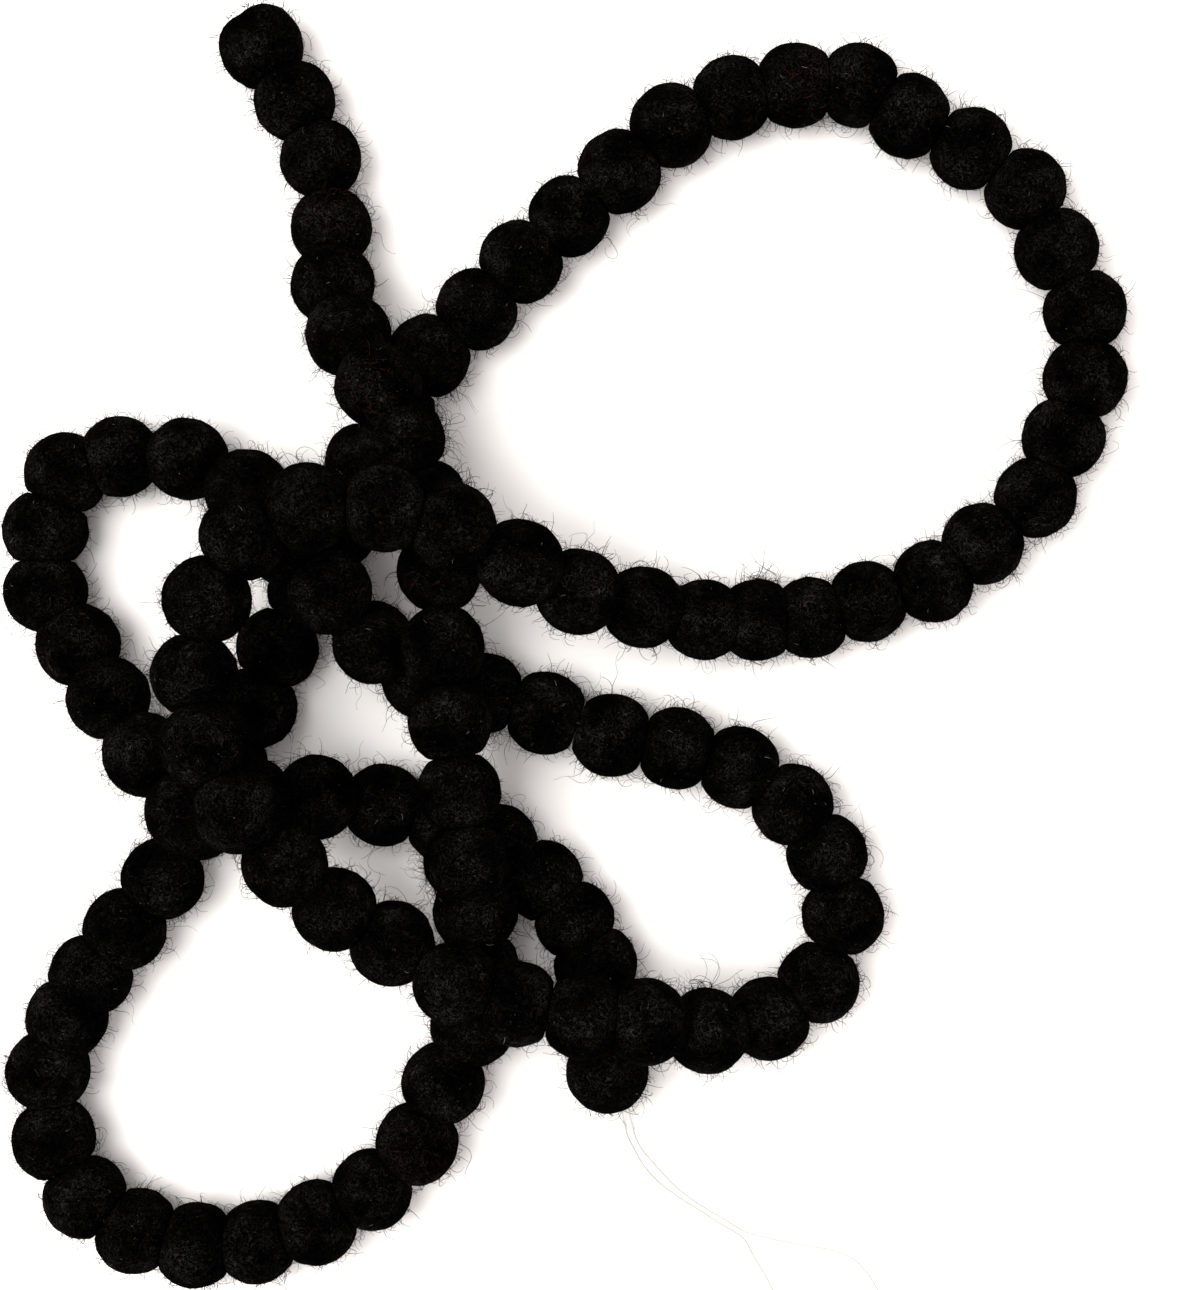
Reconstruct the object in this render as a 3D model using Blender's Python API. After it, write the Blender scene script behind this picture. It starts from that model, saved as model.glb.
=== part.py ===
"""Felt ball garland: 115 black wool felt balls drawn tight on one thread, lying in loose crossing loops.

Units are metres, +Z is up, and the origin is on the surface under the middle of the garland's outline. The
route of the string is a table of places, in millimetres, that a smooth curve joins. A ball sits at each whole
number along that curve. Balls that touch are flat against each other, and each ball on the surface has a
small flat spot. The balls are joined in twos, with three at the last end, so each object is one solid.
"""

import math
import random
from typing import NamedTuple

import bmesh
import bpy
from mathutils import Matrix, Vector

MM = 0.001

BALL_COUNT = 115
BALLS_IN_A_GROUP = 2
BALL_RADIUS = 10.15 * MM
BALL_LENGTH_SHARE = 0.97
SIZE_SPREAD = 0.02
LUMP = 0.008
BALL_SEGMENTS = 10
BALL_RINGS = 6
SEED = 115

GAP = 0.3 * MM
RESTING = 9.35
NEARLY_RESTING = 0.6
FLAT_DEPTH = 0.8 * MM
LYING = 0.35
FLAT_TOLERANCE = 0.001 * MM

THREAD_DIAMETER = 0.5 * MM
THREAD_POINTS = 40
THREAD_BEVEL_RESOLUTION = 2

FELT_COLOUR = (0.014, 0.013, 0.012, 1.0)
FELT_ROUGHNESS = 0.95
THREAD_COLOUR = (0.72, 0.67, 0.55, 1.0)
THREAD_ROUGHNESS = 0.8


class Place(NamedTuple):
    """A ball's number and its centre, in millimetres."""

    ball: int
    x: float
    y: float
    height: float


class Spot(NamedTuple):
    """A point that a loose thread passes, in millimetres."""

    x: float
    y: float
    height: float


# The string, stretch by stretch, from its free end to the end with the loose threads.
STRING = [
    # Free end at the top left, down to where it climbs over the top of the big loop
    Place(1, -74.0, 146.5, RESTING),
    Place(3, -59.5, 119.0, RESTING),
    Place(4, -57.0, 102.5, RESTING),
    Place(5, -56.0, 87.7, 13.0),
    Place(6, -51.5, 74.5, 19.5),
    Place(7, -43.5, 61.5, 28.5),
    Place(8, -38.0, 49.0, 28.5),
    # Down the middle, over two runs that lie on the surface
    Place(10, -29.4, 18.6, 24.0),
    Place(11, -28.5, -0.5, 27.5),
    Place(13, -24.5, -34.0, 28.5),
    Place(14, -23.0, -50.5, 28.5),
    Place(15, -21.0, -63.0, 21.5),
    Place(16, -21.0, -78.5, 11.5),
    # Round the lower left loop, on the surface
    Place(17, -22.5, -92.5, RESTING),
    Place(18, -29.5, -106.5, RESTING),
    Place(19, -36.0, -121.0, RESTING),
    Place(21, -60.5, -140.5, RESTING),
    Place(23, -90.0, -146.0, RESTING),
    Place(25, -117.0, -134.0, RESTING),
    Place(26, -124.6, -120.0, RESTING),
    Place(27, -126.0, -103.5, RESTING),
    Place(28, -121.5, -90.7, RESTING),
    Place(29, -115.5, -80.0, RESTING),
    Place(31, -98.0, -56.5, RESTING),
    Place(32, -89.4, -42.0, RESTING),
    # Straight up again, under everything that crosses it
    Place(33, -82.7, -28.2, RESTING),
    Place(34, -75.3, -14.5, RESTING),
    Place(35, -69.9, -0.3, RESTING),
    Place(36, -62.5, 13.5, RESTING),
    Place(38, -48.5, 45.0, RESTING),
    # Round the big loop at the top right
    Place(40, -33.0, 71.0, RESTING),
    Place(41, -21.3, 82.5, RESTING),
    Place(42, -10.5, 94.0, RESTING),
    Place(44, 13.5, 116.0, RESTING),
    Place(45, 26.0, 127.0, RESTING),
    Place(47, 56.5, 137.0, RESTING),
    Place(48, 71.6, 137.0, RESTING),
    Place(49, 84.0, 129.5, RESTING),
    Place(51, 112.5, 111.5, RESTING),
    Place(52, 120.0, 97.0, RESTING),
    Place(53, 127.0, 82.0, RESTING),
    Place(54, 127.0, 65.5, RESTING),
    Place(55, 121.8, 51.0, RESTING),
    Place(56, 115.0, 36.5, RESTING),
    Place(57, 102.0, 25.0, RESTING),
    Place(58, 90.0, 16.0, RESTING),
    Place(59, 74.0, 11.0, RESTING),
    Place(60, 60.2, 7.1, RESTING),
    Place(61, 47.0, 6.5, RESTING),
    # Climbing to the left, over the middle run and the small loop
    Place(62, 33.9, 6.6, 12.4),
    Place(63, 19.0, 9.5, 18.0),
    Place(64, 3.5, 13.0, 26.5),
    Place(65, -10.0, 19.5, 35.0),
    Place(66, -25.4, 27.7, 42.0),
    Place(67, -40.5, 31.5, 45.5),
    Place(68, -57.9, 31.6, 46.5),
    Place(69, -72.5, 24.9, 46.0),
    Place(71, -84.5, -6.5, 41.5),
    Place(73, -74.0, -37.0, 46.5),
    Place(74, -64.1, -50.3, 38.0),
    Place(75, -53.4, -61.6, 30.5),
    Place(76, -40.5, -70.0, 27.0),
    # Over the middle run and the last stretch, down to the surface at the right
    Place(77, -25.0, -79.0, 31.5),
    Place(78, -11.0, -84.0, 28.5),
    Place(79, 4.8, -86.9, 28.8),
    Place(80, 19.5, -88.5, 28.0),
    Place(81, 34.2, -92.0, 19.4),
    Place(82, 49.6, -90.5, 11.0),
    Place(83, 62.0, -82.0, RESTING),
    Place(84, 68.0, -65.5, RESTING),
    Place(85, 64.0, -50.6, RESTING),
    Place(86, 55.5, -38.5, RESTING),
    Place(87, 42.5, -29.5, RESTING),
    Place(89, 11.5, -21.5, RESTING),
    Place(90, -4.6, -16.2, RESTING),
    Place(91, -19.8, -11.4, RESTING),
    # Up over the straight run and round the small loop at the left
    Place(92, -34.5, -7.5, RESTING),
    Place(93, -45.5, 1.0, 20.0),
    Place(94, -55.0, 13.0, 29.0),
    Place(95, -65.5, 24.5, 27.5),
    Place(96, -75.8, 37.3, 19.5),
    Place(97, -91.5, 45.5, 12.9),
    Place(98, -108.4, 46.3, RESTING),
    Place(99, -121.5, 42.0, RESTING),
    Place(100, -126.6, 28.5, RESTING),
    Place(101, -126.5, 13.5, RESTING),
    Place(102, -118.5, 0.5, 10.5),
    Place(104, -100.0, -25.5, 22.5),
    Place(105, -88.0, -39.0, 29.5),
    # Under the climbing run and the middle run, to the end with the loose threads
    Place(106, -74.0, -36.0, 27.5),
    Place(108, -44.0, -38.5, 11.5),
    Place(109, -29.0, -42.5, RESTING),
    Place(110, -16.6, -48.5, RESTING),
    Place(111, -5.5, -57.0, RESTING),
    Place(113, 7.5, -77.5, RESTING),
    Place(115, 10.5, -103.5, RESTING),
]

# Two threads come out of the last ball, lie side by side for about 45 mm, and then part.
THREADS = {
    "thread_long": [
        Spot(15.6, -112.4, 7.2),
        Spot(15.9, -114.9, 4.2),
        Spot(16.5, -118.2, 1.2),
        Spot(17.3, -121.6, LYING),
        Spot(19.1, -125.0, LYING),
        Spot(22.3, -128.8, LYING),
        Spot(26.6, -133.4, LYING),
        Spot(30.7, -136.8, LYING),
        Spot(34.9, -139.6, LYING),
        Spot(40.1, -142.7, LYING),
        Spot(43.9, -144.9, LYING),
        Spot(47.5, -146.2, LYING),
        Spot(55.9, -148.1, LYING),
        Spot(64.6, -149.6, LYING),
        Spot(70.8, -151.7, LYING),
        Spot(74.7, -155.3, LYING),
        Spot(77.5, -160.0, LYING),
        Spot(79.1, -165.5, LYING),
        Spot(79.3, -171.0, LYING),
    ],
    "thread_short": [
        Spot(14.2, -113.1, 7.2),
        Spot(14.3, -115.2, 4.2),
        Spot(14.6, -118.0, 1.2),
        Spot(15.4, -121.4, LYING),
        Spot(17.5, -125.6, LYING),
        Spot(19.9, -129.5, LYING),
        Spot(23.5, -133.3, LYING),
        Spot(28.5, -137.0, LYING),
        Spot(33.5, -140.1, LYING),
        Spot(38.8, -143.5, LYING),
        Spot(42.7, -145.8, LYING),
        Spot(44.8, -147.7, LYING),
        Spot(46.1, -150.2, LYING),
        Spot(47.8, -153.2, LYING),
        Spot(49.8, -156.6, LYING),
        Spot(51.5, -160.2, LYING),
        Spot(52.4, -164.2, LYING),
        Spot(52.3, -168.4, LYING),
    ],
}


def clear_scene():
    """Removes all that a new scene holds."""
    for obj in list(bpy.data.objects):
        bpy.data.objects.remove(obj, do_unlink=True)


def make_material(name, colour, roughness):
    """A Principled material of one colour."""
    material = bpy.data.materials.new(name)
    material.use_nodes = True
    shader = material.node_tree.nodes["Principled BSDF"]
    shader.inputs["Base Color"].default_value = colour
    shader.inputs["Roughness"].default_value = roughness
    material.diffuse_color = colour
    return material


def slope(before, here, after, step_before, step_after):
    """The curve's direction at a place, from the places on both sides of it and how far off they are."""
    first = (here - before) / step_before
    second = (after - here) / step_after
    return (first * step_after + second * step_before) / (step_before + step_after)


def smooth_points(steps, places, wanted):
    """Points of the smooth curve that passes each place at its step, at each wanted step."""
    last = len(places) - 1
    slopes = [
        slope(places[i - 1], places[i], places[i + 1], steps[i] - steps[i - 1], steps[i + 1] - steps[i])
        for i in range(1, last)
    ]
    slopes.insert(0, (places[1] - places[0]) / (steps[1] - steps[0]))
    slopes.append((places[last] - places[last - 1]) / (steps[last] - steps[last - 1]))
    points = []
    start = 0
    for step in wanted:
        while start < last - 1 and step > steps[start + 1]:
            start += 1
        width = steps[start + 1] - steps[start]
        u = (step - steps[start]) / width
        points.append(
            places[start] * (2 * u**3 - 3 * u**2 + 1)
            + slopes[start] * width * (u**3 - 2 * u**2 + u)
            + places[start + 1] * (3 * u**2 - 2 * u**3)
            + slopes[start + 1] * width * (u**3 - u**2)
        )
    return points


def ball_centres(radii):
    """The centre of each ball along the string. One that rests on the surface is pressed a little into it."""
    steps = [place.ball for place in STRING]
    places = [Vector((place.x, place.y, place.height)) * MM for place in STRING]
    centres = smooth_points(steps, places, range(1, BALL_COUNT + 1))
    for centre, radius in zip(centres, radii):
        pressed = radius - FLAT_DEPTH
        rests = centre.z < (RESTING + NEARLY_RESTING) * MM
        centre.z = pressed if rests else max(centre.z, pressed)
    return centres


def string_directions(centres):
    """The string's direction through each ball."""
    last = len(centres) - 1
    return [(centres[min(i + 1, last)] - centres[max(i - 1, 0)]).normalized() for i in range(last + 1)]


def ball_frame(centre, along):
    """A turn and a place that put a ball's poles on the string and one of its meridians straight down."""
    down = Vector((0, 0, -1))
    down = (down - along * down.dot(along)).normalized()
    side = along.cross(down)
    return Matrix.Translation(centre) @ Matrix((down, side, along)).transposed().to_4x4()


def cut_flat(bm, point, normal):
    """Takes away what lies beyond a plane, and closes the cut with a flat face."""
    everything = bm.verts[:] + bm.edges[:] + bm.faces[:]
    bmesh.ops.bisect_plane(
        bm, geom=everything, dist=FLAT_TOLERANCE, plane_co=point, plane_no=normal, clear_outer=True
    )
    open_edges = [edge for edge in bm.edges if edge.is_boundary]
    if open_edges:
        bmesh.ops.holes_fill(bm, edges=open_edges, sides=0)


def contact_planes(number, group, centres, radii):
    """The planes, as point and outward normal, where a ball is flat against the other groups and the surface."""
    planes = []
    centre = centres[number]
    for other, other_centre in enumerate(centres):
        if other in group:
            continue
        between = other_centre - centre
        distance = between.length
        reach = (radii[number] + radii[other]) * (1 + LUMP) + GAP
        if distance > reach:
            continue
        share = (distance**2 + radii[number] ** 2 - radii[other] ** 2) / (2 * distance)
        normal = between.normalized()
        planes.append((centre + normal * (share - GAP / 2), normal))
    if centre.z < radii[number] * (1 + LUMP):
        planes.append((Vector((centre.x, centre.y, 0)), Vector((0, 0, -1))))
    return planes


def felt_ball(frame, radius, planes, rng):
    """One slightly lumpy ball, a little shorter along the string, cut flat where it meets something."""
    bm = bmesh.new()
    bmesh.ops.create_uvsphere(bm, u_segments=BALL_SEGMENTS, v_segments=BALL_RINGS, radius=radius)
    for vert in bm.verts:
        vert.co *= 1 + rng.uniform(-LUMP, LUMP)
    bmesh.ops.scale(bm, vec=(1, 1, BALL_LENGTH_SHARE), verts=bm.verts)
    bmesh.ops.transform(bm, matrix=frame, verts=bm.verts)
    for point, normal in planes:
        cut_flat(bm, point, normal)
    for vert in bm.verts:
        if abs(vert.co.z) < FLAT_TOLERANCE:
            vert.co.z = 0
    bmesh.ops.recalc_face_normals(bm, faces=bm.faces)
    return bm


def object_from(bm, name, collection):
    """An object that holds a worked mesh."""
    mesh = bpy.data.meshes.new(name)
    bm.to_mesh(mesh)
    bm.free()
    obj = bpy.data.objects.new(name, mesh)
    collection.objects.link(obj)
    return obj


def join_solids(base, others):
    """Makes one closed body of solids that overlap, and removes the solids that were added."""
    for other in others:
        modifier = base.modifiers.new("join " + other.name, "BOOLEAN")
        modifier.operation = "UNION"
        modifier.solver = "EXACT"
        modifier.object = other
    graph = bpy.context.evaluated_depsgraph_get()
    joined = bpy.data.meshes.new_from_object(base.evaluated_get(graph))
    base.modifiers.clear()
    base.data = joined
    for other in others:
        bpy.data.objects.remove(other, do_unlink=True)


def ball_groups():
    """The balls in twos, by their place in the list, with the odd one added to the last two."""
    starts = range(0, BALL_COUNT - BALLS_IN_A_GROUP, BALLS_IN_A_GROUP)
    groups = [list(range(start, start + BALLS_IN_A_GROUP)) for start in starts]
    groups[-1].extend(range(groups[-1][-1] + 1, BALL_COUNT))
    return groups


def build_balls(collection, felt):
    """All the balls, each group as one object."""
    rng = random.Random(SEED)
    radii = [BALL_RADIUS * (1 + rng.uniform(-SIZE_SPREAD, SIZE_SPREAD)) for _ in range(BALL_COUNT)]
    centres = ball_centres(radii)
    directions = string_directions(centres)
    for group in ball_groups():
        balls = []
        for number in group:
            frame = ball_frame(centres[number], directions[number])
            planes = contact_planes(number, group, centres, radii)
            bm = felt_ball(frame, radii[number], planes, rng)
            balls.append(object_from(bm, f"ball_{number + 1:03d}", collection))
        base = balls[0]
        join_solids(base, balls[1:])
        base.name = f"balls_{group[0] + 1:03d}_{group[-1] + 1:03d}"
        base.data.name = base.name
        base.data.materials.clear()
        base.data.materials.append(felt)
        base.data.shade_smooth()
        base.data.set_sharp_from_angle(angle=math.radians(50))


def build_thread(name, spots, collection, material):
    """A loose thread: a thin round tube on a smooth route."""
    steps = list(range(len(spots)))
    places = [Vector(spot) * MM for spot in spots]
    wanted = [steps[-1] * i / (THREAD_POINTS - 1) for i in range(THREAD_POINTS)]
    curve = bpy.data.curves.new(name, "CURVE")
    curve.dimensions = "3D"
    curve.bevel_depth = THREAD_DIAMETER / 2
    curve.bevel_resolution = THREAD_BEVEL_RESOLUTION
    curve.use_fill_caps = True
    spline = curve.splines.new("POLY")
    spline.points.add(THREAD_POINTS - 1)
    for point, place in zip(spline.points, smooth_points(steps, places, wanted)):
        point.co = (*place, 1)
    curve.materials.append(material)
    collection.objects.link(bpy.data.objects.new(name, curve))


def main():
    clear_scene()
    collection = bpy.data.collections.new("felt ball garland")
    bpy.context.scene.collection.children.link(collection)
    felt = make_material("black felt", FELT_COLOUR, FELT_ROUGHNESS)
    thread = make_material("pale thread", THREAD_COLOUR, THREAD_ROUGHNESS)
    build_balls(collection, felt)
    for name, spots in THREADS.items():
        build_thread(name, spots, collection, thread)


main()
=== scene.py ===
"""Looks of the felt ball garland: fuzzy black wool balls drawn tight on a thread with two loose ends.

Lengths are in metres, +Z is up and the surface is at zero height. Each ball takes its place and size from
the solids that the frame holds, so nothing here moves or resizes them.
"""

import logging
import math
import random
from dataclasses import dataclass, field
from enum import Enum
from typing import Any, NamedTuple

import bpy
import numpy as np
from mathutils import Matrix, Quaternion, Vector


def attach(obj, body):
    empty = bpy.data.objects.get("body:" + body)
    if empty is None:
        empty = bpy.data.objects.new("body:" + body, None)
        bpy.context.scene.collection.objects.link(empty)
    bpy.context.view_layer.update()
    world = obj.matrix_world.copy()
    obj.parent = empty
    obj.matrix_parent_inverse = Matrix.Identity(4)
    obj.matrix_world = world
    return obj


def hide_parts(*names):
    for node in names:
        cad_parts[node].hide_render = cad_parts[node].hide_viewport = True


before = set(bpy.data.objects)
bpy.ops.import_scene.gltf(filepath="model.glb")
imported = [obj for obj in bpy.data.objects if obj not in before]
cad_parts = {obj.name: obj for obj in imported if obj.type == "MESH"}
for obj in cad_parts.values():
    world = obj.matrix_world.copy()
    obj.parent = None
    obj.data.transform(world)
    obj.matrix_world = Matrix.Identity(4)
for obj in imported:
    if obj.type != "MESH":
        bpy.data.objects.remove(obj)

LOG = logging.getLogger("garland")
MM = 0.001
BODY = "root"
FELT_SLOT = "black_felt"
THREAD_SLOT = "pale_thread"
UP = (0.0, 0.0, 1.0)
DOWN = (0.0, 0.0, -1.0)

Colour = tuple[float, float, float]
Shift = tuple[float, float, float]
Range = tuple[float, float]


def deselect_all() -> None:
    """Leaves object mode with nothing selected."""
    if bpy.context.mode != "OBJECT":
        bpy.ops.object.mode_set(mode="OBJECT")
    bpy.ops.object.select_all(action="DESELECT")


def select_only(objects: list[bpy.types.Object]) -> None:
    """Selects these objects and makes the first one active.

    Args:
        objects: The objects that the next operator acts on.
    """
    deselect_all()
    for obj in objects:
        obj.select_set(True)
    bpy.context.view_layer.objects.active = objects[0]


def apply_modifiers(obj: bpy.types.Object) -> None:
    """Applies all the modifiers of an object, in their order.

    Args:
        obj: The object.
    """
    select_only([obj])
    for modifier in list(obj.modifiers):
        bpy.ops.object.modifier_apply(modifier=modifier.name)


def new_object(name: str, data: bpy.types.ID) -> bpy.types.Object:
    """Links a new object that holds the data.

    Args:
        name: The object's name.
        data: Its mesh or curve.

    Returns:
        The object.
    """
    obj = bpy.data.objects.new(name, data)
    bpy.context.scene.collection.objects.link(obj)
    return obj


def points_of(mesh: bpy.types.Mesh) -> np.ndarray:
    """Reads a mesh's points.

    Args:
        mesh: The mesh.

    Returns:
        Their places, one row each.
    """
    flat = np.empty(len(mesh.vertices) * 3)
    mesh.vertices.foreach_get("co", flat)
    return flat.reshape(-1, 3)


def smooth_points(places: list[Vector], count: int) -> list[Vector]:
    """Points spread along the smooth curve that passes through the places.

    Args:
        places: What the curve passes.
        count: How many points are wanted.

    Returns:
        The points, from the first place to the last.
    """
    last = len(places) - 1
    slopes = [(places[min(i + 1, last)] - places[max(i - 1, 0)]) / 2 for i in range(last + 1)]
    slopes[0] = places[1] - places[0]
    slopes[last] = places[last] - places[last - 1]
    points = []
    for i in range(count):
        step = last * i / (count - 1)
        start = min(int(step), last - 1)
        u = step - start
        points.append(
            places[start] * (2 * u**3 - 3 * u**2 + 1)
            + slopes[start] * (u**3 - 2 * u**2 + u)
            + places[start + 1] * (3 * u**2 - 2 * u**3)
            + slopes[start + 1] * (u**3 - u**2)
        )
    return points


def random_direction(rng: random.Random) -> Vector:
    """Picks a direction, with an equal chance for each.

    Args:
        rng: Where it comes from.

    Returns:
        A vector of length 1.
    """
    height = rng.uniform(-1, 1)
    turn = rng.uniform(0, math.tau)
    across = math.sqrt(1 - height * height)
    return Vector((across * math.cos(turn), across * math.sin(turn), height))


def cross_section(radii: list[float]) -> bpy.types.Object:
    """Draws a closed outline that a curve can sweep, with its corners spread evenly round the middle.

    Args:
        radii: How far out each corner lies.

    Returns:
        The outline.
    """
    curve = bpy.data.curves.new("cross section", "CURVE")
    spline = curve.splines.new("POLY")
    spline.points.add(len(radii) - 1)
    for k, (point, radius) in enumerate(zip(spline.points, radii)):
        angle = math.tau * k / len(radii)
        point.co = (radius * math.cos(angle), radius * math.sin(angle), 0, 1)
    spline.use_cyclic_u = True
    return new_object("cross section", curve)


class Stop(NamedTuple):
    """A point of a swept line: its place, and the cross-section's size and turn there."""

    place: Vector
    size: float
    tilt: float


def swept(
    name: str, section: bpy.types.Object, line: list[Stop], merge: float, triangles: bool = False
) -> bpy.types.Object:
    """Sweeps a cross-section along a line and closes the result.

    Args:
        name: The new object's name.
        section: The cross-section.
        line: What it follows.
        merge: Points nearer to each other than this become one.
        triangles: Whether every face is cut into triangles.

    Returns:
        The swept mesh's object, which is left selected.
    """
    curve = bpy.data.curves.new(name, "CURVE")
    curve.dimensions = "3D"
    curve.bevel_mode = "OBJECT"
    curve.bevel_object = section
    curve.use_fill_caps = True
    spline = curve.splines.new("POLY")
    spline.points.add(len(line) - 1)
    for point, stop in zip(spline.points, line):
        point.co = (*stop.place, 1)
        point.radius = stop.size
        point.tilt = stop.tilt
    select_only([new_object(name, curve)])
    bpy.ops.object.convert(target="MESH")
    bpy.ops.object.mode_set(mode="EDIT")
    bpy.ops.mesh.select_all(action="SELECT")
    bpy.ops.mesh.remove_doubles(threshold=merge)
    if triangles:
        bpy.ops.mesh.quads_convert_to_tris()
    bpy.ops.mesh.normals_make_consistent(inside=False)
    bpy.ops.object.mode_set(mode="OBJECT")
    return bpy.context.object


class Value:
    """A shader socket that can be written in plain arithmetic."""

    def __init__(self, graph: "Graph", socket: bpy.types.NodeSocket) -> None:
        """Wraps a socket of a graph."""
        self.graph = graph
        self.socket = socket

    def math(self, operation: str, first: Any, second: Any) -> "Value":
        """Adds one Math node and returns its answer."""
        node = self.graph.node("ShaderNodeMath", {"operation": operation}, {0: first, 1: second})
        return Value(self.graph, node.outputs[0])

    def __add__(self, other: Any) -> "Value":
        """The sum."""
        return self.math("ADD", self, other)

    __radd__ = __add__

    def __sub__(self, other: Any) -> "Value":
        """The difference."""
        return self.math("SUBTRACT", self, other)

    def __rsub__(self, other: Any) -> "Value":
        """The difference, the other way round."""
        return self.math("SUBTRACT", other, self)

    def __mul__(self, other: Any) -> "Value":
        """The product."""
        return self.math("MULTIPLY", self, other)

    __rmul__ = __mul__

    def __pow__(self, power: float) -> "Value":
        """This value to a power."""
        return self.math("POWER", self, power)

    def __abs__(self) -> "Value":
        """This value without its sign."""
        return self.math("ABSOLUTE", self, 0.0)

    def at_most(self, limit: Any) -> "Value":
        """The smaller of two values."""
        return self.math("MINIMUM", self, limit)

    def at_least(self, limit: Any) -> "Value":
        """The larger of two values."""
        return self.math("MAXIMUM", self, limit)

    def between(self, low: float, high: float) -> "Value":
        """This value as a share of the way from low to high, kept within 0 and 1."""
        return ((self - low) * (1 / (high - low))).at_least(0.0).at_most(1.0)

    def ridge(self, sharpness: float) -> "Value":
        """Thin curved lines where a noise crosses its middle value."""
        return (1 - abs(self * 2 - 1)) ** sharpness


class Graph:
    """The nodes of one material, ending in one Principled shader."""

    def __init__(self, name: str) -> None:
        """Starts a new material with an empty graph.

        Args:
            name: The material's name.
        """
        self.material = bpy.data.materials.new(name)
        self.material.use_nodes = True
        self.tree = self.material.node_tree
        self.tree.nodes.clear()
        self.place = Value(self, self.node("ShaderNodeTexCoord").outputs["Object"])

    def node(
        self, kind: str, settings: dict[str, Any] | None = None, inputs: dict[Any, Any] | None = None
    ) -> Any:
        """Adds a node.

        Args:
            kind: The node's type.
            settings: What is set on the node itself, first.
            inputs: A number, colour, Value or socket for each input that isn't left alone.

        Returns:
            The node.
        """
        node = self.tree.nodes.new(kind)
        for name, value in (settings or {}).items():
            setattr(node, name, value)
        for name, value in (inputs or {}).items():
            if isinstance(value, Value):
                value = value.socket
            if isinstance(value, bpy.types.NodeSocket):
                self.tree.links.new(value, node.inputs[name])
            else:
                node.inputs[name].default_value = value
        return node

    def noise(self, size: float, detail: float = 2.0, warp: float = 0.0, place: Value | None = None) -> Value:
        """A noise whose lumps are about this size.

        Args:
            size: The width of a lump.
            detail: How many finer layers it has.
            warp: How far the noise twists itself.
            place: Where it is read, if not at the piece's own coordinates.

        Returns:
            The noise, mostly between 0.3 and 0.7.
        """
        inputs = {"Vector": place or self.place, "Scale": 1 / size, "Detail": detail, "Distortion": warp}
        return Value(self, self.node("ShaderNodeTexNoise", {}, inputs).outputs["Fac"])

    def shifted(self, size: float, reach: float, offset: Shift) -> Value:
        """The piece's coordinates, pushed about by a noise so that what reads them curls.

        Args:
            size: The width of the noise's lumps.
            reach: How far it pushes.
            offset: A fixed push, so that two readers differ.

        Returns:
            The coordinates.
        """
        colour = self.node("ShaderNodeTexNoise", {}, {"Vector": self.place, "Scale": 1 / size, "Detail": 1.0})
        push = self.node(
            "ShaderNodeVectorMath",
            {"operation": "MULTIPLY_ADD"},
            {0: colour.outputs["Color"], 1: (reach,) * 3, 2: offset},
        )
        moved = self.node("ShaderNodeVectorMath", {"operation": "ADD"}, {0: self.place, 1: push.outputs[0]})
        return Value(self, moved.outputs[0])

    def blend(self, share: Any, first: Any, second: Any) -> Value:
        """A colour between two colours.

        Args:
            share: How much of the second one shows, from 0 to 1.
            first: A colour or a link to one.
            second: A colour or a link to one.

        Returns:
            The blended colour.
        """
        first, second = ((*c, 1.0) if isinstance(c, tuple) else c for c in (first, second))
        node = self.node("ShaderNodeMix", {"data_type": "RGBA"}, {0: share, 6: first, 7: second})
        return Value(self, node.outputs[2])

    def bump(self, height: Value, strength: float, depth: float) -> Value:
        """A normal that follows a height.

        Args:
            height: From 0 to 1.
            strength: How much of it shows.
            depth: What a height of 1 stands for.

        Returns:
            The normal.
        """
        inputs = {"Height": height, "Strength": strength, "Distance": depth}
        return Value(self, self.node("ShaderNodeBump", {}, inputs).outputs[0])

    def finish(self, inputs: dict[str, Any]) -> bpy.types.Material:
        """Ends the graph in a Principled shader.

        Args:
            inputs: The shader's sockets.

        Returns:
            The material.
        """
        shader = self.node("ShaderNodeBsdfPrincipled", {}, inputs)
        self.node("ShaderNodeOutputMaterial", {}, {"Surface": shader.outputs[0]})
        return self.material


class CurlLayer(NamedTuple):
    """A layer of curly lines in the felt: their spacing and how they sway."""

    spacing: float
    warp: float
    sway_size: float
    sway_reach: float
    shift: Shift


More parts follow.
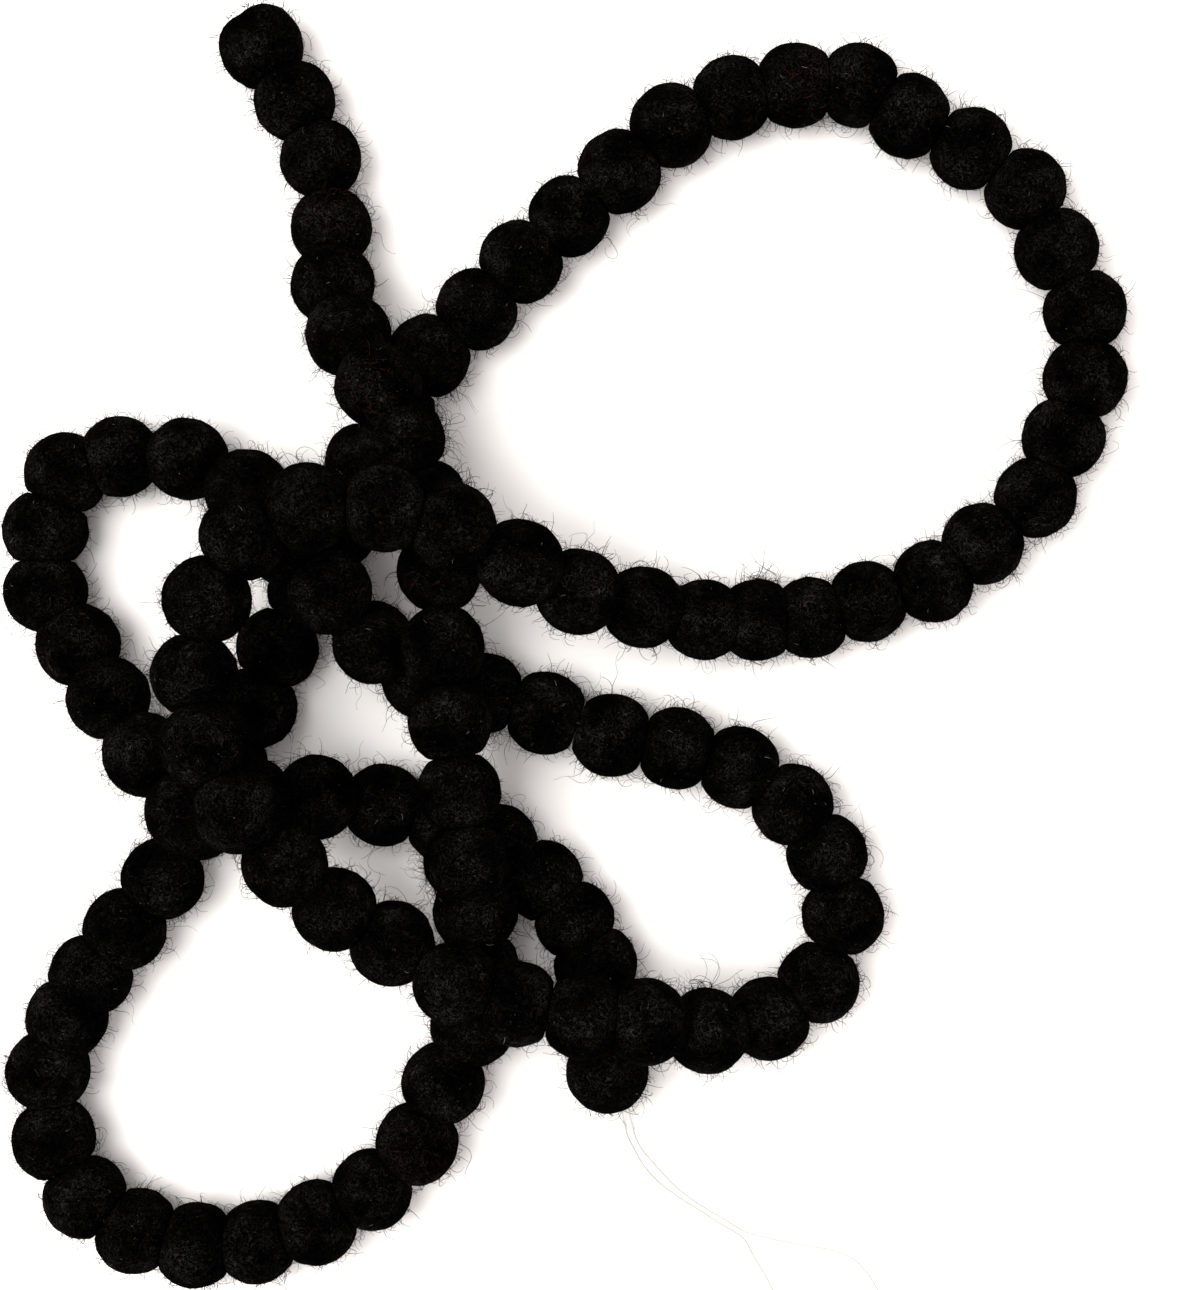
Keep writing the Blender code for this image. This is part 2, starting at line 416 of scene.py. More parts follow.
@dataclass(frozen=True)
class FeltFinish:
    """Felted black wool: matted curly fibres whose lighter colour is partly painted sheen, dusty patches and
    a few pale specks.
    """

    name: str = "black wool felt"
    ground: Colour = (0.00012, 0.00010, 0.00009)
    # fibre is partly the fibres' own lighter tone and partly painted sheen on them, since the felt is given
    # almost no gloss.
    fibre: Colour = (0.0212, 0.0193, 0.0176)
    speck: Colour = (0.030, 0.027, 0.024)
    layers: tuple[CurlLayer, CurlLayer] = (
        CurlLayer(1.25 * MM, 0.6, 4.0 * MM, 5.0 * MM, (0.0, 0.0, 0.0)),
        CurlLayer(0.75 * MM, 0.8, 2.5 * MM, 3.0 * MM, (0.31, 0.17, 0.05)),
    )
    curl_sharpness: float = 10.0
    fine_brightness: float = 0.85
    nap_size: float = 0.35 * MM
    nap_range: Range = (0.50, 0.75)
    nap_brightness: float = 0.4
    patch_size: float = 9.0 * MM
    patch_range: Range = (0.30, 0.70)
    patch_depth: float = 0.7
    contrast: float = 2.5
    speck_size: float = 0.55 * MM
    speck_range: Range = (0.80, 0.88)
    roughness: float = 0.95
    curl_polish: float = 0.25
    gloss: float = 0.0015
    curl_relief: float = 0.6
    nap_relief: float = 0.5
    bump_strength: float = 0.9
    bump_depth: float = 0.30 * MM

    def curls(self, graph: Graph) -> Value:
        """Draws two layers of thin curly lines, like the fibres that lie on the surface, whose brightness is
        partly painted sheen.

        Args:
            graph: The material's nodes.

        Returns:
            The lines' brightness, from 0 to 1.
        """
        lines = []
        for layer in self.layers:
            sway = graph.shifted(layer.sway_size, layer.sway_reach, layer.shift)
            lines.append(graph.noise(layer.spacing, 1.0, layer.warp, sway).ridge(self.curl_sharpness))
        return lines[0].at_least(lines[1] * self.fine_brightness)

    def make(self) -> bpy.types.Material:
        """Builds the material.

        Returns:
            The material.
        """
        graph = Graph(self.name)
        curls = self.curls(graph)
        nap = graph.noise(self.nap_size, 3.0)
        patches = graph.noise(self.patch_size, 2.0).between(*self.patch_range)
        # Painted sheen: the curls and the nap are lightened in the colour itself, on top of their own lighter
        # tone.
        fibre_sheen = curls + nap.between(*self.nap_range) * self.nap_brightness
        fibre_sheen = fibre_sheen * (patches * self.patch_depth + (1 - self.patch_depth))
        colour = graph.blend(fibre_sheen.at_most(1.0) ** self.contrast, self.ground, self.fibre)
        specks = graph.noise(self.speck_size, 0.0).between(*self.speck_range)
        relief = curls * self.curl_relief + nap * self.nap_relief
        return graph.finish({
            "Base Color": graph.blend(specks, colour, self.speck),
            "Roughness": self.roughness - curls * self.curl_polish,
            "Specular IOR Level": self.gloss,
            "Normal": graph.bump(relief, self.bump_strength, self.bump_depth),
        })


@dataclass(frozen=True)
class FibreFinish:
    """Single loose fibres of one colour, a little uneven from place to place."""

    name: str
    dark: Colour
    light: Colour
    tone_size: float = 1.7 * MM
    tone_range: Range = (0.35, 0.65)
    grain_size: float = 0.6 * MM
    roughness: float = 0.7
    grain_roughness: float = 0.2
    gloss: float = 0.003

    def make(self) -> bpy.types.Material:
        """Builds the material.

        Returns:
            The material.
        """
        graph = Graph(self.name)
        share = graph.noise(self.tone_size, 1.0).between(*self.tone_range)
        return graph.finish({
            "Base Color": graph.blend(share, self.dark, self.light),
            "Roughness": self.roughness + graph.noise(self.grain_size) * self.grain_roughness,
            "Specular IOR Level": self.gloss,
        })


@dataclass(frozen=True)
class ThreadFinish:
    """Pale cotton thread with fine fibres and painted shade in the grooves between them."""

    name: str = "pale cotton thread"
    pale: Colour = (0.70, 0.685, 0.65)
    dark: Colour = (0.56, 0.545, 0.51)
    fibre_size: float = 0.12 * MM
    groove_shade_range: Range = (0.35, 0.65)
    groove_shade_share: float = 0.6
    tone_size: float = 3.0 * MM
    tone_share: float = 0.4
    roughness: float = 0.75
    fibre_roughness: float = 0.2
    gloss: float = 0.3
    bump_strength: float = 0.5
    bump_depth: float = 0.03 * MM

    def make(self) -> bpy.types.Material:
        """Builds the material.

        Returns:
            The material.
        """
        graph = Graph(self.name)
        fibres = graph.noise(self.fibre_size, 2.0)
        tone = graph.noise(self.tone_size, 1.0)
        # Painted shade: the fine fibre noise also sets the bump, so the low grooves get the darker colour;
        # the larger tone is the thread's own uneven colour.
        share = fibres.between(*self.groove_shade_range) * self.groove_shade_share + tone * self.tone_share
        return graph.finish({
            "Base Color": graph.blend(share.at_most(1.0), self.dark, self.pale),
            "Roughness": self.roughness + fibres * self.fibre_roughness,
            "Specular IOR Level": self.gloss,
            "Normal": graph.bump(fibres, self.bump_strength, self.bump_depth),
        })


@dataclass(frozen=True)
class FloorFinish:
    """A plain white surface."""

    name: str = "plain white surface"
    colour: Colour = (0.93, 0.91, 0.90)
    roughness: float = 0.9
    gloss: float = 0.1

    def make(self) -> bpy.types.Material:
        """Builds the material.

        Returns:
            The material.
        """
        return Graph(self.name).finish({
            "Base Color": (*self.colour, 1.0),
            "Roughness": self.roughness,
            "Specular IOR Level": self.gloss,
        })


@dataclass
class Studio:
    """The camera straight above, the white surface and soft light from the upper left."""

    eye: Vector = field(default_factory=lambda: Vector((8.7, 0.4, 550.0)) * MM)
    lens: float = 61.8
    floor_size: float = 6.0
    floor_height: float = -0.05 * MM
    key_place: Vector = field(default_factory=lambda: Vector((-0.58, 0.08, 1.35)))
    key_size: float = 0.9
    key_power: float = 23.0
    key_colour: Colour = (1.0, 0.985, 0.96)
    sky: float = 1.02
    sky_colour: Colour = (1.0, 0.95, 0.93)

    def build_camera(self) -> None:
        """Adds the camera, which looks straight down with +Y up in the picture."""
        data = bpy.data.cameras.new("camera")
        data.lens = self.lens
        data.clip_start = 0.01
        camera = new_object("camera", data)
        camera.location = self.eye
        bpy.context.scene.camera = camera

    def build_floor(self) -> None:
        """Adds the white surface."""
        deselect_all()
        bpy.ops.mesh.primitive_plane_add(size=self.floor_size, location=(0, 0, self.floor_height))
        floor = bpy.context.object
        floor.name = "surface"
        floor.data.materials.append(FloorFinish().make())

    def build_light(self) -> None:
        """Adds the soft key light and an even white sky."""
        data = bpy.data.lights.new("key", "AREA")
        data.size = self.key_size
        data.energy = self.key_power
        data.color = self.key_colour
        key = new_object("key", data)
        key.location = self.key_place
        key.rotation_euler = (-self.key_place).to_track_quat("-Z", "Y").to_euler()
        world = bpy.data.worlds.new("sky")
        world.use_nodes = True
        background = world.node_tree.nodes["Background"]
        background.inputs["Color"].default_value = (*self.sky_colour, 1.0)
        background.inputs["Strength"].default_value = self.sky
        scene = bpy.context.scene
        scene.world = world
        scene.view_settings.view_transform = "Standard"


class Place(NamedTuple):
    """A ball at rest: its number, its solid, its centre and its size."""

    number: int
    node: str
    centre: Vector
    radius: float


@dataclass
class BallString:
    """Where every ball lies, worked out from the frame's solids."""

    rounds: int = 25
    seed_spread: float = 0.7
    outer_share: float = 75.0
    near: float = 1.2 * MM
    resting_share: float = 1.03
    places: list[Place] = field(default_factory=list)

    def numbers(self, node: str) -> list[int]:
        """The numbers of the balls that a node holds, from its name."""
        first, last = (int(part) for part in node.split("_")[1:3])
        return list(range(first, last + 1))

    def centres_in(self, node: str, count: int) -> list[tuple[Vector, float]]:
        """The balls of one solid, found as round groups of its points.

        Args:
            node: The solid's node.
            count: How many balls it holds.

        Returns:
            The centre and the radius of each, in no set order.
        """
        points = np.unique(np.round(points_of(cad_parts[node].data), 6), axis=0)
        middle = points.mean(axis=0)
        main = np.linalg.svd(points - middle, full_matrices=False)[2][0]
        reach = (points - middle) @ main
        ends = self.seed_spread * reach.min(), self.seed_spread * reach.max()
        seeds = middle + np.outer(np.linspace(*ends, count), main)
        for _ in range(self.rounds):
            nearest = np.linalg.norm(points[:, None] - seeds[None], axis=2).argmin(axis=1)
            seeds = np.array([self.sphere_through(points[nearest == k]) for k in range(count)])
        found = []
        for k, seed in enumerate(seeds):
            away = np.linalg.norm(points[nearest == k] - seed, axis=1)
            found.append((Vector(seed), float(np.percentile(away, self.outer_share))))
        return found

    def sphere_through(self, points: np.ndarray) -> np.ndarray:
        """Finds the sphere that passes nearest to some points.

        Args:
            points: The points, one row each.

        Returns:
            Its centre.
        """
        middle = points.mean(axis=0)
        near = points - middle
        system = np.c_[2 * near, np.ones(len(near))]
        return middle + np.linalg.lstsq(system, (near**2).sum(axis=1), rcond=None)[0][:3]

    def read(self) -> None:
        """Reads all the balls and puts them in their order on the string."""
        nodes = sorted(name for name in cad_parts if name.startswith("balls_"))
        groups = [self.centres_in(node, len(self.numbers(node))) for node in nodes]
        middles = [sum((centre for centre, _ in group), Vector()) / len(group) for group in groups]
        for k, (node, group) in enumerate(zip(nodes, groups)):
            before, after = middles[max(k - 1, 0)], middles[min(k + 1, len(groups) - 1)]
            group.sort(key=lambda ball: ball[0].dot(after - before))
            self.places += [Place(number, node, *ball) for number, ball in zip(self.numbers(node), group)]
        LOG.info("%d balls read from %d solids", len(self.places), len(nodes))

    def neighbours(self, place: Place) -> list[Place]:
        """The balls before and after a ball on the string."""
        return [other for other in self.places if abs(other.number - place.number) == 1]

    def contacts(self, place: Place, gap: float) -> list[tuple[Vector, Vector]]:
        """The planes that flatten a ball: a point and the outward normal of each.

        Args:
            place: The ball.
            gap: What is left between two balls that touch.

        Returns:
            One plane for each ball that it touches, and one for the surface if it rests there.
        """
        planes = []
        for other in self.places:
            between = other.centre - place.centre
            distance = between.length
            if other is place or distance > place.radius + other.radius + self.near:
                continue
            share = (distance**2 + place.radius**2 - other.radius**2) / (2 * distance)
            normal = between.normalized()
            planes.append((place.centre + normal * (share - gap / 2), normal))
        if place.centre.z < place.radius * self.resting_share:
            planes.append((Vector((place.centre.x, place.centre.y, 0.0)), Vector(DOWN)))
        return planes


@dataclass
class Dimple:
    """A hollow where the thread is drawn into an end ball."""

    number: int
    outward: Vector
    width: float
    depth: float

    def press(self, points: np.ndarray, place: Place) -> np.ndarray:
        """Draws the ball's points in around the thread.

        Args:
            points: The ball's points.
            place: The ball.

        Returns:
            The moved points.
        """
        outward = np.array(self.outward.normalized())
        away = points - np.array(place.centre)
        depth = away @ outward
        across = np.linalg.norm(away - np.outer(depth, outward), axis=1)
        pull = np.where(depth > 0, self.depth * np.exp(-((across / self.width) ** 2)), 0.0)
        return points - np.outer(pull, outward)


@dataclass
class FeltBalls:
    """The balls' own felt: round, lumpy, and pressed flat where they meet."""

    string: BallString
    felt: bpy.types.Material
    radius: float = 10.0 * MM
    cuts: int = 13
    masters: int = 7
    master_spacing: float = 0.1
    lump_sizes: tuple[float, ...] = (7.0 * MM, 3.0 * MM, 1.6 * MM)
    lump_depths: tuple[float, ...] = (0.55 * MM, 0.34 * MM, 0.20 * MM)
    gap: float = 0.02 * MM
    softness: float = 0.28 * MM
    least_press: float = 1.1 * MM
    seed: int = 20
    dimples: tuple[Dimple, ...] = (
        Dimple(1, Vector((-0.55, 0.83, 0.15)), 3.6 * MM, 2.8 * MM),
        Dimple(115, Vector((0.38, -0.88, -0.22)), 1.1 * MM, 0.9 * MM),
    )

    def master_ball(self, number: int) -> bpy.types.Mesh:
        """Models one lumpy felt ball from a cube.

        Args:
            number: Which one it is, which sets where it lies in the lumps' noise.

        Returns:
            Its mesh, centred.
        """
        deselect_all()
        place = Vector((self.master_spacing * number, 0.0, 0.0))
        bpy.ops.mesh.primitive_cube_add(size=2 * self.radius, location=place)
        ball = bpy.context.object
        bpy.ops.object.mode_set(mode="EDIT")
        bpy.ops.mesh.select_all(action="SELECT")
        bpy.ops.mesh.subdivide(number_cuts=self.cuts)
        bpy.ops.object.mode_set(mode="OBJECT")
        cast = ball.modifiers.new("round", "CAST")
        cast.cast_type = "SPHERE"
        cast.factor = 1.0
        cast.size = self.radius
        cast.use_radius_as_size = False
        for size, depth in zip(self.lump_sizes, self.lump_depths):
            texture = bpy.data.textures.new("lumps", "CLOUDS")
            texture.noise_scale = size
            texture.noise_depth = 1
            lumps = ball.modifiers.new("lumps", "DISPLACE")
            lumps.texture = texture
            lumps.texture_coords = "GLOBAL"
            lumps.strength = depth
            lumps.mid_level = 0.5
        apply_modifiers(ball)
        mesh = ball.data
        bpy.data.objects.remove(ball, do_unlink=True)
        return mesh

    def drawn_out(self, points: np.ndarray, place: Place) -> np.ndarray:
        """Draws a ball out along the string where it wouldn't press on its neighbour.

        Args:
            points: The ball's points.
            place: The ball.

        Returns:
            The moved points.
        """
        for other in self.string.neighbours(place):
            between = other.centre - place.centre
            out = np.array(between.normalized())
            short = between.length / 2 + self.least_press - place.radius
            height = (points - np.array(place.centre)) @ out / place.radius
            points = points + np.outer(max(short, 0.0) * np.clip(height, 0.0, 1.0), out)
        return points

    def pressed(self, points: np.ndarray, planes: list[tuple[Vector, Vector]]) -> np.ndarray:
        """Flattens a ball against its contact planes, with a soft edge round each flat.

        Args:
            points: The ball's points.
            planes: A point and an outward normal for each flat.

        Returns:
            The moved points.
        """
        for point, normal in planes:
            out = np.array(normal)
            beyond = (points - np.array(point)) @ out
            kept = -self.softness * np.logaddexp(0.0, -beyond / self.softness)
            points = points + np.outer(kept - beyond, out)
        return points

    def one_ball(self, place: Place, masters: list[bpy.types.Mesh], rng: random.Random) -> bpy.types.Object:
        """Copies a master ball to its place, turned at random, and presses it flat.

        Args:
            place: The ball.
            masters: The modelled balls to choose from.
            rng: Where the choice and the turn come from.

        Returns:
            The ball's object.
        """
        mesh = rng.choice(masters).copy()
        turn = Quaternion(random_direction(rng), rng.uniform(0, math.tau)).to_matrix()
        shape = (turn * (place.radius / self.radius)).to_4x4()
        mesh.transform(Matrix.Translation(place.centre) @ shape)
        points = self.drawn_out(points_of(mesh), place)
        points = self.pressed(points, self.string.contacts(place, self.gap))
        for dimple in self.dimples:
            if dimple.number == place.number:
                points = dimple.press(points, place)
        mesh.vertices.foreach_set("co", points.ravel())
        mesh.update()
        return new_object(f"felt_ball_{place.number:03d}", mesh)

    def build(self) -> None:
        """Builds every ball, and joins the balls of each solid that they stand for."""
        rng = random.Random(self.seed)
        masters = [self.master_ball(number) for number in range(self.masters)]
        groups: dict[str, list[bpy.types.Object]] = {}
        for place in self.string.places:
            groups.setdefault(place.node, []).append(self.one_ball(place, masters, rng))
        for node, balls in groups.items():
            select_only(balls)
            bpy.ops.object.join()
            piece = bpy.context.object
            piece.name = "felt_" + node
            piece.data.name = piece.name
            piece.data.shade_smooth()
            piece.data.materials.clear()
            piece.data.materials.append(self.felt)
            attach(piece, BODY)
            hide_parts(node)
        for mesh in masters:
            bpy.data.meshes.remove(mesh)
        LOG.info("%d felt pieces", len(groups))


class Growth(Enum):
    """How a loose fibre grows out of the felt."""

    NAP = "short and nearly flat on the felt"
    CURL = "a curl that stands out"
    WISP = "a long wandering fibre"
    LOOP = "a thick strand that loops back"


@dataclass(frozen=True)
class FibreShape:
    """The form of one kind of fibre: its size, how it curls, and how far it leans, in radians."""

    length: float
    spread: float
    width: float
    segments: int
    turn: float
    wander: float
    lean: tuple[float, float]
    patterns: int
    taper: float = 0.6


SHAPES = {
    Growth.NAP: FibreShape(
        length=1.5 * MM,
        spread=0.4,
        width=0.155 * MM,
        segments=2,
        turn=1.3,
        wander=0.3,
        lean=(0.2, 1.3),
        patterns=12,
    ),
    Growth.CURL: FibreShape(
        length=4.0 * MM,
        spread=0.5,
        width=0.125 * MM,
        segments=6,
        turn=3.7,
        wander=0.35,
        lean=(0.2, 1.3),
        patterns=24,
    ),
    Growth.WISP: FibreShape(
        length=10.0 * MM,
        spread=0.4,
        width=0.115 * MM,
        segments=14,
        turn=6.0,
        wander=0.45,
        lean=(0.2, 1.2),
        patterns=16,
    ),
    Growth.LOOP: FibreShape(
        length=14.0 * MM,
        spread=0.3,
        width=0.20 * MM,
        segments=18,
        turn=9.0,
        wander=0.30,
        lean=(0.5, 1.2),
        patterns=12,
    ),
}


class Tangle(NamedTuple):
    """A spot with many wisps: the ball, the direction in plan in degrees, and how many wisps and loops."""

    ball: int
    bearing: float
    wisps: int
    loops: int = 0


TANGLES = (
    Tangle(81, 100, 16, 9),
    Tangle(61, 75, 18, 7),
    Tangle(40, -50, 8),
    Tangle(8, 10, 12),
    Tangle(91, -60, 8),
    Tangle(64, 70, 8),
    Tangle(14, 205, 16, 2),
    Tangle(30, -15, 6),
    Tangle(10, -35, 6),
    Tangle(85, 20, 5),
)


@dataclass
class FibrePatterns:
    """Ready curled fibres of one kind, each 1 long, which are copied all over the felt."""

    shape: FibreShape
    seed: int
    corners: int = 3
    merge: float = 1e-5

    def route(self, rng: random.Random) -> list[Vector]:
        """A fibre's line, which leaves the felt along +Z and curls as it goes.

        Args:
            rng: Where its turns come from.

        Returns:
            The points of the line.
        """
        step = 1 / self.shape.segments
        heading = Vector(UP)
        axis = random_direction(rng)
        turn = self.shape.turn * rng.uniform(0.5, 1.2)
        route = [Vector()]
        for _ in range(self.shape.segments):
            axis = (axis + random_direction(rng) * self.shape.wander).normalized()
            heading.rotate(Quaternion(axis, turn * step))
            route.append(route[-1] + heading * step)
        return route

    def build(self) -> list[tuple[np.ndarray, np.ndarray]]:
        """Models the patterns with a taper, three-cornered and closed at both ends.

        Returns:
            The points and the triangles of each pattern.
        """
        rng = random.Random(self.seed)
        section = cross_section([self.shape.width / self.shape.length / 2] * self.corners)
        patterns = []
        for _ in range(self.shape.patterns):
            route = self.route(rng)
            last = len(route) - 1
            line = [Stop(place, 1 - self.shape.taper * k / last, 0.0) for k, place in enumerate(route)]
            fibre = swept("fibre", section, line, self.merge, triangles=True)
            corners = np.empty(len(fibre.data.polygons) * 3, np.int32)
            fibre.data.polygons.foreach_get("vertices", corners)
            patterns.append((points_of(fibre.data), corners.reshape(-1, 3)))
            bpy.data.objects.remove(fibre, do_unlink=True)
        bpy.data.objects.remove(section, do_unlink=True)
        return patterns


@dataclass
class Fuzz:
    """Loose fibres on the felt, joined into a few pieces."""

    string: BallString
    black: bpy.types.Material
    brown: bpy.types.Material
    pale: bpy.types.Material
    seed: int = 64
    stretches: int = 6
    naps_a_ball: int = 115
    curls_a_ball: int = 150
    wisps_a_ball: int = 6
    side_share: float = 0.8
    side_height: float = 0.45
    brown_balls: tuple[int, ...] = (47, 10, 19, 4, 7)
    brown_fibres: int = 26
    brown_spread: float = 0.7
    top_spread: float = 0.5
    flecks: int = 170
    fleck_spread: float = 0.8
    sunk: float = 0.25 * MM
    floor_gap: float = 0.05 * MM
    tangle_rise: float = 0.25
    tangle_spread: float = 0.35
    tangle_curls: int = 2
    tangle_curl_spread: float = 0.45

    def __post_init__(self) -> None:
        """Readies the patterns and the balls' places as arrays."""
        self.rng = random.Random(self.seed)
        self.patterns = {
            growth: FibrePatterns(shape, self.seed + k).build()
            for k, (growth, shape) in enumerate(SHAPES.items())
        }
        self.centres = np.array([place.centre for place in self.string.places])
        self.radii = np.array([place.radius for place in self.string.places])

    def anywhere(self) -> Vector:
        """Picks a spot on a ball, more often at its sides than at its top and bottom.

        Returns:
            The direction from the ball's middle.
        """
        outward = random_direction(self.rng)
        while abs(outward.z) > self.side_height and self.rng.random() < self.side_share:
            outward = random_direction(self.rng)
        return outward

    def is_free(self, points: np.ndarray, owner: int) -> bool:
        """Whether a fibre stays above the surface and out of every other ball.

        Args:
            points: The fibre's points.
            owner: The index of the ball that it grows on.

        Returns:
            True if nothing is in its way.
        """
        if points[:, 2].min() < self.floor_gap:
            return False
        away = np.linalg.norm(points[:, None] - self.centres[None], axis=2)
        inside = away < self.radii[None] - self.sunk / 2
        inside[:, owner] = False
        return not inside.any()

    def fibre(
        self, growth: Growth, index: int, planes: list[tuple[Vector, Vector]], outward: Vector | None = None
    ) -> tuple[np.ndarray, np.ndarray] | None:
        """One fibre on a ball.

        Args:
            growth: Its kind.
            index: The ball's index.
            planes: The ball's flats, where nothing grows.
            outward: Where on the ball it grows, or anywhere.

        Returns:
            Its points and triangles, or None where it would be in the way of something.
        """
        rng, shape, place = self.rng, SHAPES[growth], self.string.places[index]
        outward = outward or self.anywhere()
        root = place.centre + outward * (place.radius - self.sunk)
        if any((root - point).dot(normal) > -self.sunk for point, normal in planes):
            return None
        side = outward.cross(random_direction(rng)).normalized()
        lean = Quaternion(side, rng.uniform(*shape.lean))
        spin = Quaternion(UP, rng.uniform(0, math.tau))
        turn = (lean @ outward.to_track_quat("Z", "X") @ spin).to_matrix()
        length = shape.length * (1 + rng.uniform(-shape.spread, shape.spread))
        pattern, corners = rng.choice(self.patterns[growth])
        points = pattern @ np.array(turn).T * length + np.array(root)
        return (points, corners) if self.is_free(points, index) else None

    def piece(
        self, name: str, fibres: list[tuple[np.ndarray, np.ndarray]], material: bpy.types.Material, slot: str
    ) -> None:
        """Joins fibres into one piece.

        Args:
            name: The piece's name.
            fibres: The points and triangles of each.
            material: Its material.
            slot: Not used.
        """
        starts = np.cumsum([0] + [len(points) for points, _ in fibres[:-1]])
        points = np.concatenate([points for points, _ in fibres])
        corners = np.concatenate([corners + start for (_, corners), start in zip(fibres, starts)])
        mesh = bpy.data.meshes.new(name)
        mesh.from_pydata(points, [], corners)
        mesh.shade_smooth()
        mesh.materials.append(material)
        piece = new_object(name, mesh)
        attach(piece, BODY)
        LOG.info("%s: %d fibres, %d triangles", name, len(fibres), len(corners))

    def grown(
        self, growth: Growth, index: int, count: int, outward: Vector | None = None, blur: float = 0.0
    ) -> list[tuple[np.ndarray, np.ndarray]]:
        """Several fibres of one kind on a ball.

        Args:
            growth: Their kind.
            index: The ball's index.
            count: How many are tried.
            outward: The middle of the spot where they grow, or anywhere.
            blur: How wide that spot is.

        Returns:
            The fibres that are free.
        """
        planes = self.string.contacts(self.string.places[index], self.sunk)
        fibres = []
        for _ in range(count):
            where = (outward + random_direction(self.rng) * blur).normalized() if outward else None
            fibre = self.fibre(growth, index, planes, where)
            if fibre is not None:
                fibres.append(fibre)
        return fibres

    def build_coat(self) -> None:
        """Covers every ball with nap and curls, in one piece for each stretch of the string."""
        count = len(self.string.places)
        for k in range(self.stretches):
            fibres = []
            for index in range(count * k // self.stretches, count * (k + 1) // self.stretches):
                fibres += self.grown(Growth.NAP, index, self.naps_a_ball)
                fibres += self.grown(Growth.CURL, index, self.curls_a_ball)
            self.piece(f"felt_fuzz_{k + 1}", fibres, self.black, FELT_SLOT)

    def build_wisps(self) -> None:
        """Adds long wisps, a few on every ball and many at the tangles."""
        fibres = []
        for index in range(len(self.string.places)):
            fibres += self.grown(Growth.WISP, index, self.wisps_a_ball)
        for tangle in TANGLES:
            bearing = math.radians(tangle.bearing)
            outward = Vector((math.cos(bearing), math.sin(bearing), self.tangle_rise)).normalized()
            index, curls = tangle.ball - 1, self.tangle_curls * tangle.wisps
            fibres += self.grown(Growth.WISP, index, tangle.wisps, outward, self.tangle_spread)
            fibres += self.grown(Growth.CURL, index, curls, outward, self.tangle_curl_spread)
            fibres += self.grown(Growth.LOOP, index, tangle.loops, outward, self.tangle_spread)
        self.piece("felt_wisps", fibres, self.black, FELT_SLOT)

    def build_odd_fibres(self) -> None:
        """Adds reddish-brown fibres on a few balls, and pale flecks all over."""
        fibres = []
        for number in self.brown_balls:
            spot = (Vector(UP) + random_direction(self.rng) * self.top_spread).normalized()
            fibres += self.grown(Growth.CURL, number - 1, self.brown_fibres, spot, self.brown_spread)
            fibres += self.grown(Growth.NAP, number - 1, self.brown_fibres, spot, self.brown_spread)
        self.piece("brown_fibres", fibres, self.brown, FELT_SLOT)
        flecks = []
        for _ in range(self.flecks):
            index = self.rng.randrange(len(self.string.places))
            flecks += self.grown(Growth.NAP, index, 1, Vector(UP), self.fleck_spread)
        self.piece("pale_flecks", flecks, self.pale, THREAD_SLOT)


class Spot(NamedTuple):
    """A point that a loose thread passes, in millimetres."""

    x: float
    y: float
    height: float


LYING = 0.35

# The threads' routes, the same as their solids follow
LONG_ROUTE = (
    Spot(15.6, -112.4, 7.2),
    Spot(15.9, -114.9, 4.2),
    Spot(16.5, -118.2, 1.2),
    Spot(17.3, -121.6, LYING),
    Spot(19.1, -125.0, LYING),
    Spot(22.3, -128.8, LYING),
    Spot(26.6, -133.4, LYING),
    Spot(30.7, -136.8, LYING),
    Spot(34.9, -139.6, LYING),
    Spot(40.1, -142.7, LYING),
    Spot(43.9, -144.9, LYING),
    Spot(47.5, -146.2, LYING),
    Spot(55.9, -148.1, LYING),
    Spot(64.6, -149.6, LYING),
    Spot(70.8, -151.7, LYING),
    Spot(74.7, -155.3, LYING),
    Spot(77.5, -160.0, LYING),
    Spot(79.1, -165.5, LYING),
    Spot(79.3, -171.0, LYING),
)
SHORT_ROUTE = (
    Spot(14.2, -113.1, 7.2),
    Spot(14.3, -115.2, 4.2),
    Spot(14.6, -118.0, 1.2),
    Spot(15.4, -121.4, LYING),
    Spot(17.5, -125.6, LYING),
    Spot(19.9, -129.5, LYING),
    Spot(23.5, -133.3, LYING),
    Spot(28.5, -137.0, LYING),
    Spot(33.5, -140.1, LYING),
    Spot(38.8, -143.5, LYING),
    Spot(42.7, -145.8, LYING),
    Spot(44.8, -147.7, LYING),
    Spot(46.1, -150.2, LYING),
    Spot(47.8, -153.2, LYING),
    Spot(49.8, -156.6, LYING),
    Spot(51.5, -160.2, LYING),
    Spot(52.4, -164.2, LYING),
    Spot(52.3, -168.4, LYING),
)


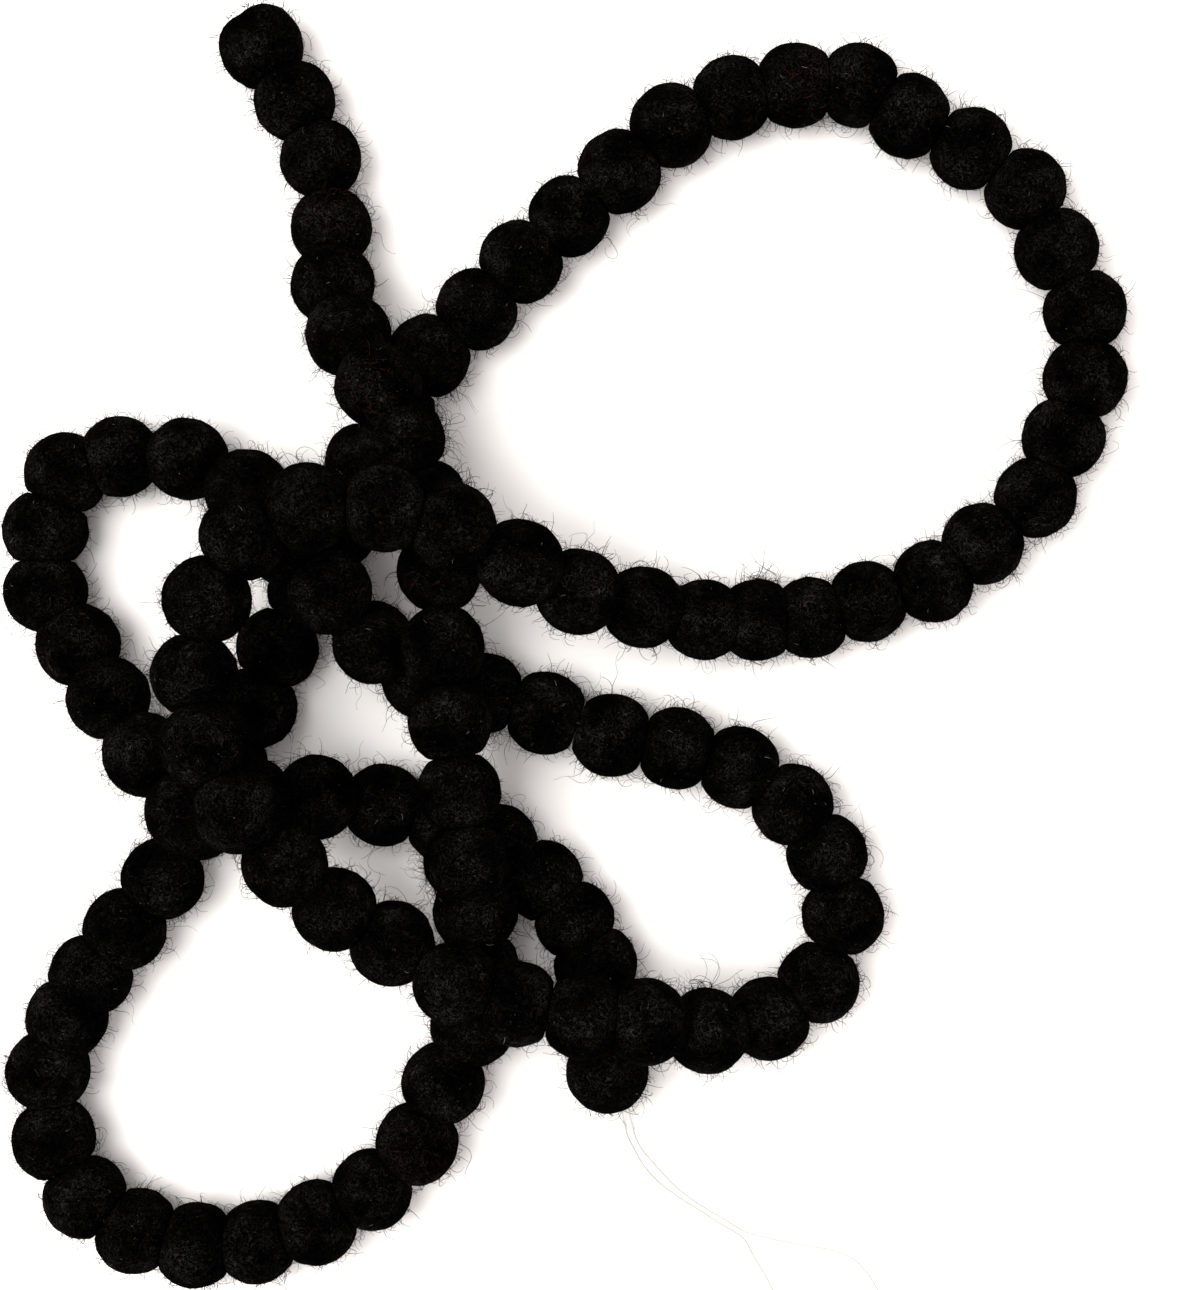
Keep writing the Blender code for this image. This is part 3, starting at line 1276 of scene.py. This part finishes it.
@dataclass
class LooseThread:
    """One loose end of the doubled thread: two plies twisted round each other."""

    name: str
    node: str
    route: tuple[Spot, ...]
    material: bpy.types.Material
    diameter: float = 0.5 * MM
    points_a_mm: float = 2.6
    twist_length: float = 2.2 * MM
    groove: float = 0.12
    groove_middle: float = 0.4
    sides: int = 10
    merge: float = 1e-6

    def outline(self) -> list[float]:
        """The thread's radius round its section, less on two sides, where the plies meet."""
        waves = (math.cos(2 * math.tau * k / self.sides) - self.groove_middle for k in range(self.sides))
        return [self.diameter / 2 * (1 + self.groove * wave) for wave in waves]

    def build(self) -> None:
        places = [Vector(spot) * MM for spot in self.route]
        rough = sum((b - a).length for a, b in zip(places, places[1:]))
        path = smooth_points(places, round(rough / MM * self.points_a_mm))
        length = sum((b - a).length for a, b in zip(path, path[1:]))
        twist = math.pi * length / len(path) / self.twist_length
        section = cross_section(self.outline())
        line = [Stop(place, 1.0, twist * k) for k, place in enumerate(path)]
        thread = swept(self.name, section, line, self.merge)
        thread.data.shade_smooth()
        thread.data.materials.clear()
        thread.data.materials.append(self.material)
        bpy.data.objects.remove(section, do_unlink=True)
        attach(thread, BODY)
        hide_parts(self.node)
        LOG.info("%s is %.1f mm long", self.name, length / MM)


def main() -> None:
    """Builds the camera, the threads, the balls and their fuzz, in this order."""
    logging.basicConfig(level=logging.INFO, format="%(message)s")
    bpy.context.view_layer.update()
    studio = Studio()
    studio.build_camera()
    cotton = ThreadFinish().make()
    LooseThread("loose_thread_long", "thread_long", LONG_ROUTE, cotton).build()
    LooseThread("loose_thread_short", "thread_short", SHORT_ROUTE, cotton).build()
    string = BallString()
    string.read()
    FeltBalls(string, FeltFinish().make()).build()
    fuzz = Fuzz(
        string,
        FibreFinish("black wool fibre", (0.0004, 0.0003, 0.0003), (0.0050, 0.0034, 0.0028)).make(),
        FibreFinish("brown wool fibre", (0.008, 0.0024, 0.0014), (0.034, 0.011, 0.006)).make(),
        FibreFinish("pale fibre", (0.03, 0.028, 0.025), (0.14, 0.13, 0.118)).make(),
    )
    fuzz.build_coat()
    fuzz.build_wisps()
    fuzz.build_odd_fibres()
    studio.build_floor()
    studio.build_light()
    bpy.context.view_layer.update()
    LOG.info("done")


if __name__ == "__main__":
    main()
